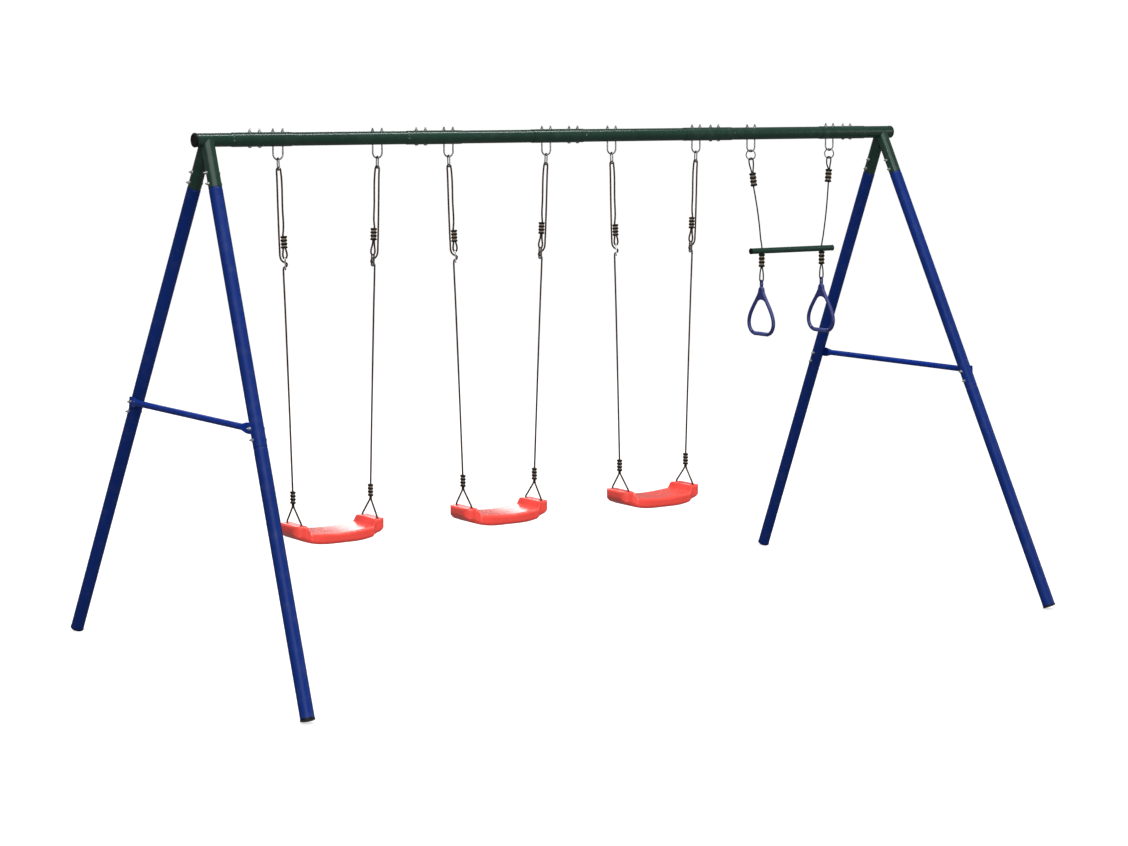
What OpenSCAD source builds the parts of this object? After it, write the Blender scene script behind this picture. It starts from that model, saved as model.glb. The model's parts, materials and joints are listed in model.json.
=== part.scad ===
// Garden swing set: a jointed crossbar on two A-frames, three plank swings and a trapeze with gym rings.
// Origin: on the ground, midway between the A-frames. +X runs along the crossbar, +Z is up, -Y is the front.

/* [Frame] */
// Height of the crossbar's axis above the ground
bar_h = 1925; // [1915:1:1935]
// Distance of each leg apex from the middle of the crossbar
apex_x = 1590; // [1560:1:1620]
// How much further out a foot stands than its apex, along the crossbar
foot_splay = 133; // [120:1:145]
// Distance of a foot from the plane below the crossbar
foot_spread = 933; // [900:1:960]
// Half length of the crossbar, end caps included
bar_half = 1644; // [1640:1:1660]
// Outer diameter of the crossbar and the legs
tube_d = 50; // [49.5:0.1:50.5]
// Wall of the steel tubes
tube_wall = 1.5; // [1.2:0.1:1.6]
// Outer diameter of the A-frame braces
brace_d = 24; // [22:0.5:25]

/* [Crossbar joints] */
// Edge of the outer tube at each joint, from left to right
seam_x = [-1252, -520, -195, 541, 1252];
// Middle of each pair of joint bolts
joint_x = [-1399, -697, 0, 697, 1399];
// Length of the widened tube end at a joint
bell_len = 245; // [240:1:250]
// How far the inner tube reaches into the widened end
insert_len = 228; // [226:1:232]
// Distance between the two bolts of a pair, and between the legs of a U-bolt
pair_gap = 40; // [40:1:42]

/* [Hangers] */
// U-bolt positions: three swings, then the trapeze, two each
hanger_x = [-1305, -887, -575, -128, 184, 603, 886, 1305];
// Pivot of the hangers below the crossbar's axis
pivot_drop = 74; // [70:1:76]
// Diameter of a U-bolt's rod
u_rod = 6; // [5.8:0.1:6]

/* [Swings] */
// Diameter of the swing ropes
rope_d = 8; // [7.5:0.1:8]
// Half the distance between the ropes at the clamps above a seat
clamp_half = 166; // [165:1:167]
// Length of a seat
seat_len = 386; // [380:1:390]
// Depth of a seat in the middle, front to back
seat_depth = 170; // [168:1:172]
// Depth of a seat's raised ends
ear_depth = 138; // [137:1:142]
// Height of a seat's raised ends above the ground
seat_top = 506; // [504:0.5:508]
// Rope holes: half their distance along the seat, and front to back
hole_x = 161.5; // [160:0.5:162]
hole_y = 56; // [55:0.5:57]

/* [Trapeze] */
// Middle of the trapeze bar along the crossbar
trapeze_x = 1110; // [1106:1:1114]
// Height of the trapeze bar's axis
trapeze_h = 1442; // [1440:1:1444]
// Length of the trapeze bar, caps included
trapeze_len = 441; // [430:1:450]
// Diameter of the trapeze bar
trapeze_d = 24; // [23:0.5:25]
// Half the distance between the trapeze ropes at the bar
trapeze_half = 161; // [158:1:164]
// Diameter of the trapeze ropes
cord_d = 6; // [5.5:0.1:6]

/* [Hidden] */
$fn = 48;

green = [0.13, 0.27, 0.23];
blue = [0.11, 0.19, 0.52];
zinc = [0.72, 0.73, 0.75];
black = [0.07, 0.07, 0.08];
tan_rope = [0.47, 0.36, 0.28];
grey_rope = [0.42, 0.42, 0.38];
red = [0.95, 0.28, 0.22];
ring_blue = [0.24, 0.26, 0.58];

tube_r = tube_d / 2;
bore_r = tube_r - tube_wall;
bell_r = tube_r + 1.5;
bell_bore = tube_r + 0.25;
bell_step = 6;
socket_r = tube_r - 0.5;
socket_bore = socket_r - 1.2;
bolt_d = 6;
bolt_hole = 6.6;
nut_h = 5;
nut_flats = 10;
washer_d = 13;
washer_t = 1.5;
thread_out = 6;
cap_t = 8;

splay_a = atan(foot_splay / bar_h);
plane_h = norm([bar_h, foot_splay]);
lean_a = atan(foot_spread / plane_h);
leg_len = norm([plane_h, foot_spread]);
foot_cap_r = tube_r + 1;
foot_cap_t = 5;
leg_fall = bar_h / leg_len;
leg_end = leg_len - foot_cap_r * sqrt(1 - leg_fall * leg_fall) / leg_fall;
socket_end = 189;
socket_bolts = [130, 172];
leg_seam = 1165;
leg_bolts_s = [1094, 1136];
tab_t = 2.6;
tab_half = 20;
brace_y = leg_bolts_s[0] * sin(lean_a);
brace_z = -leg_bolts_s[0] * cos(lean_a);

pivot_z = bar_h - pivot_drop;
u_half = pair_gap / 2;
link_rod = 5;
link_gap = u_rod / 2 + 0.6;
link_sag = 0.8;
link_drop = 38;
ring_r = 19.5;
ring_turn = 33;

clamp_h = 46;
low_clamp_z = 605;
tilt_z = 576;
link_r = link_gap + link_sag + link_rod / 2;

rope_r = rope_d / 2;
cord_r = cord_d / 2;
big_clamp_h = 55;

// ---------- helpers ----------

function unit(v) = v / norm(v);
function tangents(p) = [for (i = [0:len(p) - 1])
    unit(p[min(i + 1, len(p) - 1)] - p[max(i - 1, 0)])];
// Carries a side direction along a path without twist
function carried(t, n, i = 0) =
    let (m = unit(n - (n * t[i]) * t[i]))
    i == len(t) - 1 ? [m] : concat([m], carried(t, m, i + 1));

// Round rope swept along a list of points; side is any direction across the first stretch
module sweep(path, r, side, sides = 10) {
    t = tangents(path);
    n = carried(t, side);
    last = len(path) - 1;
    points = [for (i = [0:last]) for (k = [0:sides - 1])
        path[i] + r * (cos(360 * k / sides) * n[i] + sin(360 * k / sides) * cross(t[i], n[i]))];
    skin = [for (i = [0:last - 1]) for (k = [0:sides - 1])
        [i * sides + k, (i + 1) * sides + k,
         (i + 1) * sides + (k + 1) % sides, i * sides + (k + 1) % sides]];
    start = [[for (k = [0:sides - 1]) k]];
    end = [[for (k = [sides - 1:-1:0]) last * sides + k]];
    polyhedron(points, concat(start, skin, end));
}

// The same rope closed into a ring; the path lies in the plane across `side`
module closed_sweep(path, r, side, sides = 12) {
    last = len(path) - 1;
    t = [for (i = [0:last]) unit(path[(i + 1) % (last + 1)] - path[(i + last) % (last + 1)])];
    points = [for (i = [0:last]) for (k = [0:sides - 1])
        path[i] + r * (cos(360 * k / sides) * side + sin(360 * k / sides) * cross(t[i], side))];
    skin = [for (i = [0:last]) for (k = [0:sides - 1])
        [i * sides + k, ((i + 1) % (last + 1)) * sides + k,
         ((i + 1) % (last + 1)) * sides + (k + 1) % sides, i * sides + (k + 1) % sides]];
    polyhedron(points, skin);
}

// Solid of revolution along X; points are [radius, x]
module lathe_x(points) rotate([0, 90, 0]) rotate_extrude($fn = 96) polygon(points);

module hexagon_nut(d = bolt_d)
    difference() {
        cylinder(r = nut_flats / sqrt(3), h = nut_h, $fn = 6);
        translate([0, 0, -1]) cylinder(r = d / 2 + 0.05, h = nut_h + 2);
    }

module washer()
    difference() {
        cylinder(d = washer_d, h = washer_t);
        translate([0, 0, -1]) cylinder(r = bolt_d / 2 + 0.2, h = washer_t + 2);
    }

// Bolt with a domed head above z = 0 and its shank below
module domed_bolt(length) {
    intersection() {
        translate([0, 0, -4.5]) sphere(r = 9, $fn = 64);
        cylinder(r = 7.6, h = 5);
    }
    translate([0, 0, -length]) cylinder(d = bolt_d, h = length + 1);
}

// Places children in the plane of an A-frame: origin at the apex, -Z down the plane
module on_frame(sx) translate([sx * apex_x, 0, bar_h]) rotate([0, -sx * splay_a, 0]) children();

// Places children on a leg: origin at the apex, -Z down the leg's axis, X across the frame
module on_leg(sx, sy) on_frame(sx) rotate([sy * lean_a, 0, 0]) children();

// Ribbed sleeve that grips two strands side by side; the strands lie along `across`
module ribbed_clamp(h, wide, deep, across = 0) {
    rib = h * 0.15;
    gap = (h - 4 * rib) / 3;
    rotate([0, 0, across]) {
        for (i = [0:3]) translate([0, 0, -h / 2 + i * (rib + gap)]) oval(wide, deep, rib);
        translate([0, 0, -h / 2]) oval(wide - 6, deep - 6, h);
    }
}

module oval(wide, deep, h) {
    for (s = [-1, 1]) translate([s * (wide - deep) / 2, 0, 0]) cylinder(d = deep, h = h);
    translate([-(wide - deep) / 2, -deep / 2, 0]) cube([wide - deep, deep, h]);
}

// ---------- crossbar ----------

function wall_profile(x0, x1, bell0, bell1) = concat(
    bell0 ? [[bell_r, x0], [bell_r, x0 + bell_len - bell_step], [tube_r, x0 + bell_len]] : [[tube_r, x0]],
    bell1 ? [[tube_r, x1 - bell_len], [bell_r, x1 - bell_len + bell_step], [bell_r, x1]] : [[tube_r, x1]],
    bell1 ? [[bell_bore, x1], [bell_bore, x1 - bell_len + bell_step], [bore_r, x1 - bell_len]]
        : [[bore_r, x1]],
    bell0 ? [[bore_r, x0 + bell_len], [bell_bore, x0 + bell_len - bell_step], [bell_bore, x0]]
        : [[bore_r, x0]]);

module bar_holes()
    for (x = concat(hanger_x, joint_x), s = [-1, 1])
        translate([x + s * u_half, 0, -tube_d]) cylinder(d = bolt_hole, h = 2 * tube_d);

module bar_tube(x0, x1, bell0 = false, bell1 = false)
    color(green) translate([0, 0, bar_h]) difference() {
        lathe_x(wall_profile(x0, x1, bell0, bell1));
        bar_holes();
    }

// Crossbar end with its two welded leg sockets; side is -1 on the left and 1 on the right
module bar_end(side) {
    end_x = bar_half - cap_t;
    seam = seam_x[4];
    color(green) mirror([side < 0 ? 1 : 0, 0, 0]) difference() {
        union() {
            translate([0, 0, bar_h]) lathe_x([[0, seam], [bell_r, seam],
                [bell_r, seam + bell_len - bell_step], [tube_r, seam + bell_len],
                [tube_r, end_x], [0, end_x]]);
            for (sy = [-1, 1])
                on_leg(1, sy) translate([0, 0, -socket_end]) cylinder(r = socket_r, h = socket_end, $fn = 96);
        }
        translate([0, 0, bar_h]) lathe_x([[0, seam - 1], [bell_bore, seam - 1],
            [bell_bore, seam + bell_len - bell_step], [bore_r, seam + bell_len],
            [bore_r, end_x + 1], [0, end_x + 1]]);
        for (sy = [-1, 1]) on_leg(1, sy) {
            translate([0, 0, -socket_end - 1]) cylinder(r = socket_bore, h = socket_end - 29, $fn = 96);
            leg_holes(socket_bolts);
        }
        translate([0, 0, bar_h]) bar_holes();
    }
}

module crossbar_caps()
    color(black) for (s = [-1, 1]) translate([0, 0, bar_h]) mirror([s < 0 ? 1 : 0, 0, 0])
        lathe_x([[0, bar_half - cap_t - 22], [bore_r - 0.2, bar_half - cap_t - 22],
            [bore_r - 0.2, bar_half - cap_t], [tube_r + 1, bar_half - cap_t],
            [tube_r + 1, bar_half - 2.5], [tube_r - 1.5, bar_half], [tube_r - 6, bar_half],
            [tube_r - 7, bar_half - 2], [0, bar_half - 2]]);

function on_bell(x) = len([for (j = [0:4])
    let (out = j < 2 ? -1 : 1, a = (x - seam_x[j]) * out) if (a > -1 && a < bell_len) j]) > 0;
function crest(x) = on_bell(x) ? bell_r : tube_r;

module crossbar_bolts()
    color(zinc) for (x = joint_x, s = [-1, 1])
        translate([x + s * u_half, 0, bar_h - bell_r]) rotate([180, 0, 0])
            domed_bolt(2 * bell_r + washer_t + nut_h + thread_out);

module crossbar_nuts()
    color(zinc) for (x = joint_x, s = [-1, 1])
        translate([x + s * u_half, 0, bar_h + bell_r + washer_t]) hexagon_nut();

module u_bolts()
    color(zinc) for (x = hanger_x) translate([x, 0, pivot_z + u_half]) {
        for (s = [-1, 1]) translate([s * u_half, 0, 0])
            cylinder(d = u_rod, h = pivot_drop - u_half + crest(x) + washer_t + nut_h + thread_out);
        intersection() {
            rotate([90, 0, 0]) rotate_extrude($fn = 96) translate([u_half, 0]) circle(d = u_rod);
            translate([-40, -10, -40]) cube([80, 20, 40]);
        }
    }

module u_bolt_nuts()
    color(zinc) for (x = hanger_x, s = [-1, 1])
        translate([x + s * u_half, 0, bar_h + crest(x) + washer_t]) hexagon_nut(u_rod);

// ---------- legs ----------

module leg_holes(list)
    for (s = list) translate([-tube_d, 0, -s]) rotate([0, 90, 0]) cylinder(d = bolt_hole, h = 2 * tube_d);

// Leg tube with a narrowed top that plugs into the piece above
module leg_tube(top, neck, neck_r, bottom, holes)
    color(blue) difference() {
        rotate_extrude($fn = 96) polygon([[neck_r, -top], [neck_r, -neck], [tube_r, -neck - 6],
            [tube_r, -bottom], [bore_r, -bottom], [bore_r, -neck - 6],
            [neck_r - tube_wall, -neck], [neck_r - tube_wall, -top]]);
        leg_holes(holes);
    }

module leg_upper(sx, sy)
    on_leg(sx, sy) leg_tube(100, socket_end + 1, socket_bore - 0.3, leg_seam,
        concat(socket_bolts, leg_bolts_s));

module leg_lower(sx, sy)
    on_leg(sx, sy) leg_tube(1070, leg_seam + 1, bore_r - 0.3, leg_end - foot_cap_t, leg_bolts_s);

module foot_caps()
    color(black) for (sx = [-1, 1], sy = [-1, 1]) on_leg(sx, sy) {
        translate([0, 0, -leg_end]) cylinder(r = foot_cap_r, h = foot_cap_t, $fn = 96);
        translate([0, 0, -leg_end]) cylinder(r = bore_r - 0.2, h = foot_cap_t + 18, $fn = 96);
    }

// Where a leg bolt's head and nut sit, on +X and -X of the leg: the braces lie under one of them
function seat_r(s) = s < leg_seam - 200 ? socket_r : tube_r;
function braced(s) = s == leg_bolts_s[0];
function head_x(sx, s) = seat_r(s) + (braced(s) && sx > 0 ? tab_t + 0.2 : 0);
function nut_x(sx, s) = seat_r(s) + (braced(s) && sx < 0 ? tab_t + 0.2 : 0) + washer_t;

module each_leg_bolt()
    for (sx = [-1, 1], sy = [-1, 1], s = concat(socket_bolts, leg_bolts_s)) {
        $sx = sx;
        $s = s;
        on_leg(sx, sy) translate([0, 0, -s]) children();
    }

module leg_bolts()
    color(zinc) each_leg_bolt() translate([head_x($sx, $s), 0, 0]) rotate([0, 90, 0])
        domed_bolt(head_x($sx, $s) + nut_x($sx, $s) + nut_h + thread_out);

module leg_nuts()
    color(zinc) each_leg_bolt() translate([-nut_x($sx, $s), 0, 0]) rotate([0, -90, 0]) hexagon_nut();

module washers()
    color(zinc) {
        for (x = joint_x, s = [-1, 1]) translate([x + s * u_half, 0, bar_h + bell_r]) washer();
        for (x = hanger_x, s = [-1, 1]) translate([x + s * u_half, 0, bar_h + crest(x)]) washer();
        each_leg_bolt() translate([washer_t - nut_x($sx, $s), 0, 0]) rotate([0, -90, 0]) washer();
    }

// Brace tube with flattened, fanned ends bolted to the outer faces of a frame's two legs
module brace(sx) {
    x = sx * (tube_r + 0.1 + tab_t / 2);
    round_y = brace_y - 58;
    color(blue) on_frame(sx) translate([x, 0, brace_z]) difference() {
        union() {
            rotate([90, 0, 0]) difference() {
                cylinder(d = brace_d, h = 2 * round_y, center = true, $fn = 64);
                cylinder(d = brace_d - 2.4, h = 2 * round_y - 2, center = true, $fn = 64);
            }
            for (sy = [-1, 1]) {
                hull() {
                    translate([0, sy * round_y, 0]) rotate([90, 0, 0])
                        cylinder(d = brace_d, h = 1, center = true, $fn = 32);
                    translate([-tab_t / 2, sy * (brace_y - 26) - 1, -tab_half])
                        cube([tab_t, 2, 2 * tab_half]);
                }
                translate([-tab_t / 2, sy > 0 ? brace_y - 26 : -brace_y - 14, -tab_half])
                    cube([tab_t, 40, 2 * tab_half]);
            }
        }
        for (sy = [-1, 1]) translate([-10, sy * brace_y, 0]) rotate([0, 90, 0])
            cylinder(d = bolt_hole, h = 20);
    }
}

// ---------- swings ----------

function swing_mid(n) = (hanger_x[2 * n] + hanger_x[2 * n + 1]) / 2;
function swing_half(n) = (hanger_x[2 * n + 1] - hanger_x[2 * n]) / 2;

// Angle between a swing's ropes and the vertical: they draw together towards the seat
function rope_lean(n) = atan((swing_half(n) - clamp_half) / (pivot_z - low_clamp_z));
function rope_len(n) = norm([swing_half(n) - clamp_half, pivot_z - low_clamp_z]);

// Places children at both hangers of a swing, origin at the pivot, +X towards the seat's middle
module each_side(n, sides = [-1, 1])
    for (s = sides) translate([swing_mid(n) + s * swing_half(n), 0, pivot_z])
        mirror([s > 0 ? 1 : 0, 0, 0]) children();

// The same, with -Z along the straight line from the pivot to the clamp above the seat
module each_hanger(n, sides = [-1, 1]) each_side(n, sides) rotate([0, -rope_lean(n), 0]) children();

// Oblong steel link hanging on a U-bolt, in the plane across the crossbar
module oblong_link()
    rotate([0, 90, 0]) {
        for (low = [false, true]) translate([low ? link_drop - link_r : link_sag, 0, 0]) intersection() {
            rotate_extrude($fn = 64) translate([link_r, 0]) circle(d = link_rod, $fn = 32);
            translate([low ? 0 : -20, -20, -10]) cube([20, 40, 20]);
        }
        for (s = [-1, 1]) translate([link_sag, s * link_r, 0]) rotate([0, 90, 0])
            cylinder(d = link_rod, h = link_drop - link_r - link_sag, $fn = 32);
    }

// Route of a swing's rope below a pivot: [towards the seat's middle, distance down]. From the tail in the
// upper clamp, round the eye on the adjuster, up, over the link, down, and through the adjuster.
strand = 8;
clamp_u = 9.5;
pinch = 4.1;
// Distance of the upper clamp's middle below the pivot, on the left and on the right
clamp_down = [301, 283];
eye = [[17, 333], [19.4, 343], [19.6, 350], [17, 357.5], [13, 361], [11, 361.5], [9, 361], [5, 357.5],
    [2.4, 350], [2.6, 343], [4, 333]];
adjuster_u = 11;
adjuster_top = 357;
adjuster_holes = [362, 376, 391];
adjuster_turn_r = 7.5;
adjuster_turn_a = 34.5;
adjuster_w = 15;
adjuster_h = 47;
adjuster_t = 4;
down_route = [[-strand, 60], [-9.4, 180], [-9.8, 335], [-9.6, 350], [-7.5, 360], [-2.5, 368], [4.5, 373.5]];
turn = [for (a = [90:-22.5:-90])
    [adjuster_u + adjuster_turn_r * cos(a), adjuster_holes[1] + adjuster_turn_r * (1 - sin(a))]];
main_start = [[7, 391.8], [3.8, 395], [2.4, 402], [2.2, 415], [2.5, 520], [2.2, 760], [1.2, 1030]];

module swing_rope(n, s) {
    c = clamp_down[s > 0 ? 1 : 0];
    tail = [[clamp_u + pinch, c - 12], [clamp_u + pinch, 322]];
    rise = [[clamp_u - pinch, 322], [clamp_u - pinch, c - 16], [clamp_u, c - 50], [clamp_u, 180]];
    over = [for (a = [0:15:180]) [strand * cos(a), link_drop - strand * sin(a)]];
    route = concat(tail, eye, rise, over, down_route, turn, main_start, [[0, rope_len(n)]]);
    color(tan_rope) each_hanger(n, [s]) sweep([for (p = route) [p[0], 0, -p[1]]], rope_r, [0, 1, 0]);
}

module upper_clamps(n)
    color(black) for (s = [-1, 1])
        each_hanger(n, [s]) translate([clamp_u, 0, -clamp_down[s > 0 ? 1 : 0]]) difference() {
            ribbed_clamp(clamp_h, 26, 18);
            for (x = [-pinch, pinch]) translate([x, 0, -40]) cylinder(r = rope_r + 0.3, h = 80, $fn = 32);
        }

// Flat slider with three rope holes, turned about its long axis
module adjuster()
    translate([adjuster_u, 0, -adjuster_top]) rotate([0, 0, -adjuster_turn_a]) rotate([0, 90, 0])
        translate([0, 0, -adjuster_t / 2]) difference() {
            translate([adjuster_h / 2, 0, 0]) oval(adjuster_h, adjuster_w, adjuster_t);
            for (d = adjuster_holes) translate([d - adjuster_top, 0, -1])
                cylinder(r = rope_r + 0.5, h = adjuster_t + 2, $fn = 32);
        }

module swing_adjusters(n) color(zinc) each_hanger(n) adjuster();

module lower_clamps(n)
    color(black) each_side(n) translate([swing_half(n) - clamp_half, 0, low_clamp_z - pivot_z]) difference() {
        ribbed_clamp(clamp_h, 26, 18, 90);
        translate([0, 0, -0.1]) cylinder(r = rope_r + 0.1, h = 40, $fn = 32);
    }

// Sling under a seat's raised end, in the plane across the seat: [front to back, height]
groove_z = 470;
sling_turn = 8;
sling_half = concat(
    [[4, tilt_z + 1], [4.8, 572], [8, 566], [52, 514], [55, 507.5], [56, 499.5], [56, groove_z]],
    [for (a = [-30:-30:-90]) [hole_y - sling_turn + sling_turn * cos(a), groove_z + sling_turn * sin(a)]]);

module slings(n) {
    dx = clamp_half - hole_x;
    full = concat([for (p = sling_half) [-p[0], p[1]]], [for (i = [len(sling_half) - 1:-1:0]) sling_half[i]]);
    fall = tilt_z + 1 - seat_top;
    color(tan_rope) each_side(n) translate([swing_half(n) - clamp_half, 0, -pivot_z])
        sweep([for (p = full) [dx * min(1, (tilt_z + 1 - p[1]) / fall), p[0], p[1]]], rope_r, [1, 0, 0]);
}

// Seat: heights above the ground at a distance x from its middle
seat_mid_top = 470;
seat_mid_low = 430;
ear_in = 134;
function sit_z(x) = seat_mid_top + 10 * pow(abs(x) / ear_in, 1.8);
function low_z(x) = seat_mid_low + 32 * pow(max(0, abs(x) - 40) / (seat_len / 2 - 40), 2.4);

// Half the depth at a distance x from the middle: a bowed body that draws in to the narrower ends
draw_in = [128, 152];
function eased(t) = t * t * (3 - 2 * t);
function drawn(x) = eased(min(1, max(0, (abs(x) - draw_in[0]) / (draw_in[1] - draw_in[0]))));
function bowed(x) = seat_depth / 2 - 3 * pow(min(1, abs(x) / draw_in[0]), 2);
function half_depth(x) = bowed(x) + (ear_depth / 2 - bowed(x)) * drawn(x);

module seat_profile() {
    h = seat_len / 2;
    step = h / 18;
    ear = [[h, seat_top - 6], [h - 2, seat_top - 2], [h - 6, seat_top], [148, seat_top], [144, seat_top - 2]];
    polygon(concat(
        [for (i = [-18:18]) [i * step, low_z(i * step)]],
        ear, [for (i = [10:-1:-10]) [i * ear_in / 10, sit_z(i * ear_in / 10)]],
        [for (i = [4:-1:0]) [-ear[i][0], ear[i][1]]]));
}

// Seat seen from above: one quarter of its outline, from the middle of the side to the middle of the end
end_corner = 28;
outline_steps = 19;
seat_quarter = concat(
    [for (i = [0:outline_steps]) let(x = i * draw_in[1] / outline_steps) [x, half_depth(x)]],
    [for (a = [90:-10:0]) [
        seat_len / 2 - end_corner + end_corner * cos(a),
        ear_depth / 2 - end_corner + end_corner * sin(a)]]);

module seat_outline() {
    last = len(seat_quarter) - 1;
    left = [for (i = [last:-1:1]) [-seat_quarter[i][0], seat_quarter[i][1]]];
    back = concat(left, seat_quarter);
    polygon(concat(back, [for (i = [len(back) - 1:-1:0]) [back[i][0], -back[i][1]]]));
}

module seat(n)
    color(red) translate([swing_mid(n), 0, 0]) difference() {
        intersection() {
            rotate([90, 0, 0]) linear_extrude(seat_depth + 2, center = true) seat_profile();
            translate([0, 0, 400]) linear_extrude(200) seat_outline();
        }
        for (sx = [-1, 1]) {
            translate([sx * hole_x - 5.5, -64, 400]) cube([11, 128, groove_z - 3 - 400]);
            for (sy = [-1, 1]) translate([sx * hole_x, sy * hole_y, 0]) {
                translate([0, 0, 440]) cylinder(r = rope_r + 0.7, h = 100);
                translate([0, 0, seat_top - 11]) cylinder(r1 = rope_r + 0.7, r2 = 9.5, h = 11.2);
            }
        }
    }

// ---------- trapeze ----------

trapeze_hang = [hanger_x[6], hanger_x[7]];
function bar_hole(s) = trapeze_x + s * trapeze_half;
down_clamp_z = trapeze_h - trapeze_d / 2 - 0.2 - big_clamp_h / 2;
ring_pivot_z = 1314.4;
ring_rest_z = pivot_z + link_gap + link_rod;
cord_top_z = ring_rest_z - 2 * ring_r + cord_r + 0.9;

module trapeze_links()
    color(zinc) for (x = trapeze_hang) translate([x, 0, ring_rest_z - link_rod / 2 - ring_r])
        rotate([0, 0, ring_turn - 90]) rotate([90, 0, 0]) rotate_extrude($fn = 96)
            translate([ring_r, 0]) circle(d = link_rod, $fn = 32);

// Each trapeze rope runs from a steel ring's lowest point: side -1 left, 1 right
function cord_top(s) = [trapeze_hang[s > 0 ? 1 : 0], 0, cord_top_z];
function cord_foot(s) = [bar_hole(s), 0, trapeze_h];
function cord_dir(s) = unit(cord_foot(s) - cord_top(s));
// On the left and on the right: distance of the upper clamp's middle below the top of the eye, how far the
// clamp sits to the right of the straight line to the bar, and how far the rope bows to the right of it
grip_down = [89, 79];
grip_off = [0, 4.5];
cord_bow = [4, 6];
eye_w = 11;
nip = 3.2;

// Point at a distance down that straight line, moved to the right of it
function cord_at(s, down, off) =
    let (dir = cord_dir(s)) cord_top(s) + down * dir + off * [-dir[2], 0, dir[0]];

// The rope's end is nipped on the inner side of the clamp and its long run leaves on the outer side
module trapeze_rope(s) {
    i = s > 0 ? 1 : 0;
    top = grip_down[i] - big_clamp_h / 2;
    end = grip_down[i] + big_clamp_h / 2 - 1;
    off = grip_off[i];
    out = off + s * nip;
    span = norm(cord_foot(s) - cord_top(s)) - 20;
    tail = [cord_at(s, grip_down[i] - 4, off - s * nip), cord_at(s, top, off - s * nip),
        cord_at(s, 30, s * (1.5 - eye_w)), cord_at(s, 18, -s * eye_w)];
    over = [for (a = [0:15:180]) cord_at(s, eye_w - eye_w * sin(a), -s * eye_w * cos(a))];
    fall = [cord_at(s, 18, s * eye_w), cord_at(s, 30, s * (eye_w - 1.5)),
        cord_at(s, top, out), cord_at(s, end, out)];
    bow = [for (k = [1:7]) cord_at(s, end + (span - end) * k / 8,
        cord_bow[i] * sin(180 * k / 8) + out * pow(1 - k / 8, 2))];
    low = [cord_foot(s) + [0, 0, 16], cord_foot(s) - [0, 0, trapeze_d / 2 + 4]];
    color(grey_rope) sweep(concat(tail, over, fall, bow, low), cord_r, [0, 1, 0]);
}

module trapeze_ropes() for (s = [-1, 1]) trapeze_rope(s);

module trapeze_upper_clamps()
    color(black) for (s = [-1, 1]) let (i = s > 0 ? 1 : 0)
        translate(cord_at(s, grip_down[i], grip_off[i]))
            rotate([0, atan2(-cord_dir(s)[0], -cord_dir(s)[2]), 0]) difference() {
                ribbed_clamp(big_clamp_h, 30, 24);
                for (x = [-nip, nip]) translate([x, 0, -40]) cylinder(r = cord_r + 0.3, h = 80, $fn = 32);
            }

module trapeze_bar()
    color(green) translate([trapeze_x, 0, trapeze_h]) rotate([0, 90, 0]) difference() {
        cylinder(d = trapeze_d, h = trapeze_len - 6, center = true, $fn = 64);
        cylinder(d = trapeze_d - 3, h = trapeze_len, center = true, $fn = 64);
        for (s = [-1, 1]) translate([0, 0, s * trapeze_half]) rotate([0, 90, 0])
            cylinder(r = cord_r + 0.6, h = 2 * trapeze_d, center = true);
    }

module trapeze_bar_caps() {
    end = trapeze_len / 2;
    plug_r = trapeze_d / 2 - 1.7;
    rim_r = trapeze_d / 2 + 0.5;
    color(black) for (s = [-1, 1]) translate([trapeze_x, 0, trapeze_h]) mirror([s < 0 ? 1 : 0, 0, 0])
        lathe_x([[0, end - 18], [plug_r, end - 18], [plug_r, end - 3], [rim_r, end - 3],
            [rim_r, end - 1], [rim_r - 1, end], [0, end]]);
}

module trapeze_lower_clamps()
    color(black) for (s = [-1, 1]) translate([bar_hole(s), 0, down_clamp_z]) difference() {
        ribbed_clamp(big_clamp_h, 28, 22);
        cylinder(r = cord_r + 0.3, h = 40, $fn = 32);
        for (x = [-nip, nip]) translate([x, 0, -40]) cylinder(r = cord_r + 0.3, h = 40 - 0.5, $fn = 32);
    }

// Cord eye below each clamp, holding a gym ring
module ring_loops() {
    w = 9;
    low = down_clamp_z - big_clamp_h / 2;
    bend = ring_pivot_z - 0.4 + w;
    leg = [[nip, low + 22], [nip, low - 1], [w - 1.5, low - 20], [w, low - 36]];
    arc = [for (a = [0:-20:-180]) [w * cos(a), bend + w * sin(a)]];
    route = concat(leg, arc, [for (i = [len(leg) - 1:-1:0]) [-leg[i][0], leg[i][1]]]);
    color(grey_rope) for (s = [-1, 1]) translate([bar_hole(s), 0, 0])
        sweep([for (p = route) [p[0], 0, p[1]]], cord_r, [0, 1, 0]);
}

// Gym ring: a pear-shaped loop of round section with a web and an eyelet at the top.
// Middle line of its right half: [across, depth below the pivot]
ring_tube_r = 8;
ring_half = 80.5;
side_top = 20;
top_r = 9;
top_d = 36;
side_low = 172;
corner_r = 42;
grip_d = side_low + corner_r + 3;
grip_half = 44;
grip_r = 8.5;
web_t = 8;
web_low = 75;
web_end = 96;
arch_r = [24, 34];
eyelet_r = 7.6;
eyelet_bore = 4.6;
eyelet_slot = 10;
function side_y(d) = ring_half * sin(90 * pow((d - side_top) / (side_low - side_top), 1.4));
ring_top = [for (a = [0:22.5:90]) [top_r * sin(a), top_d - top_r * cos(a)]];
ring_side = [for (i = [0:10]) let (d = top_d + 12 + i * (side_low - top_d - 12) / 10) [side_y(d), d]];
ring_corner = [for (a = [15:15:90])
    [ring_half - corner_r + corner_r * cos(a), side_low + (corner_r + 3) * sin(a)]];
ring_right = concat(ring_top, ring_side, ring_corner);
ring_left = [for (i = [len(ring_right) - 1:-1:1]) [-ring_right[i][0], ring_right[i][1]]];

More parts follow.
